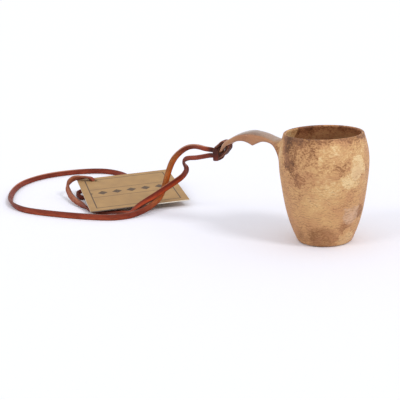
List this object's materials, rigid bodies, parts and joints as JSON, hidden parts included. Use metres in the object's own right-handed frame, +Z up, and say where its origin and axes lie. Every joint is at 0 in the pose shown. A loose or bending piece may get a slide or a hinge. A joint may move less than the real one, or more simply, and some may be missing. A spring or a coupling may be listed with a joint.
{
  "type": "camping cup",
  "caption": "Small wooden drinking cup with a carved side handle, a leather lace hitched through the handle's tip and a square card tag threaded on the lace.",
  "frame": {"origin": "middle of the cup's flat base, on the surface the cup stands on", "axes": "+Z up along the cup's axis, -X from the cup's axis towards the handle's tip"},
  "size_m": [0.2584, 0.1116, 0.057],
  "materials": {
    "wood": "waxed, mottled burl",
    "leather": "smooth, waxed, paler cut edges",
    "card": "uncoated kraft"
  },
  "bodies": {
    "cup_body": {"cup": "wood", "lace_hitch": "leather"},
    "lanyard": {"lace_upper_strand": "leather", "lace_lower_strand": "leather", "lace_floor_loop": "leather", "lace_tag_loop": "leather", "lace_knot": "leather"},
    "tag": {"hang_tag": "card"}
  },
  "joints": [
    {"name": "lanyard_swing", "type": "hinge", "parent": "cup_body", "child": "lanyard", "pos_m": [-0.0685, 0, 0.0439], "axis": [0, 0, 1], "range_deg": [-25, 25]},
    {"name": "tag_swivel", "type": "hinge", "parent": "lanyard", "child": "tag", "pos_m": [-0.17417, 0.03761, 0.00861], "axis": [0.0559, -0.0839, 0.9949], "range_deg": [0, 60]}
  ]
}
